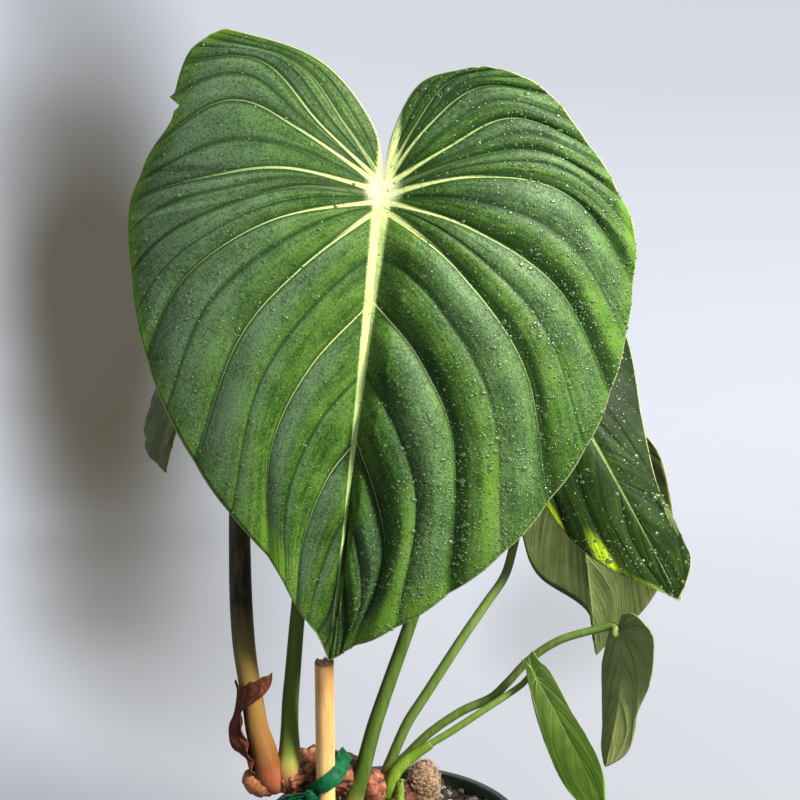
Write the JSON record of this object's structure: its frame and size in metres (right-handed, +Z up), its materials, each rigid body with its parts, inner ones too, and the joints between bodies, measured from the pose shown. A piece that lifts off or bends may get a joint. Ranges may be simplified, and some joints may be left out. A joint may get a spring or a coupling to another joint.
{
  "type": "potted dean mcdowell philodendron",
  "caption": "Creeping philodendron with one broad heart-shaped leaf and smaller leaves on arching stalks, tied to a bamboo stake in a tapered nursery pot.",
  "frame": {"origin": "centre of the pot's flat base, on the surface the pot stands on", "axes": "+Z up along the pot's axis; the broad leaf faces -Y, towards the viewer of the picture; +X to that viewer's right"},
  "size_m": [0.2571, 0.1444, 0.4719],
  "materials": {
    "pot": "satin dark green moulded plastic",
    "potting_mix": "dark damp bark and peat mix with white perlite",
    "bamboo": "smooth dry bamboo",
    "tie": "thin stretched green plastic ribbon",
    "stem": "pink-brown rough living stem with pale scars",
    "bud": "orange-tan to red-brown scaly bud",
    "husk": "dry papery sheath",
    "shoot": "bright yellow-green young growth",
    "petiole": "smooth satin green leaf stalk, paler with pink at the foot",
    "leaf_velvet": "velvety deep green with pale veins",
    "leaf_gloss": "satin dark green with yellow-green streaks",
    "leaf_back": "pale olive leaf underside"
  },
  "bodies": {
    "root": {"pot": "pot", "potting_mix": "potting_mix", "rhizome": "stem", "growing_tip": "bud", "side_bud": "bud", "old_husk": "husk", "dried_sheath": "husk", "young_sheath": "shoot", "green_shoot": "shoot", "bamboo_stake": "bamboo", "plant_tie": "tie", "petiole_1": "petiole", "petiole_2": "petiole", "petiole_3": "petiole", "petiole_4": "petiole", "petiole_5": "petiole", "petiole_6": "petiole", "leaf_1": "leaf_back", "leaf_2": "leaf_velvet", "leaf_3": "leaf_gloss", "leaf_4": "leaf_back", "leaf_5": "leaf_back", "leaf_6": "shoot"}
  },
  "joints": []
}
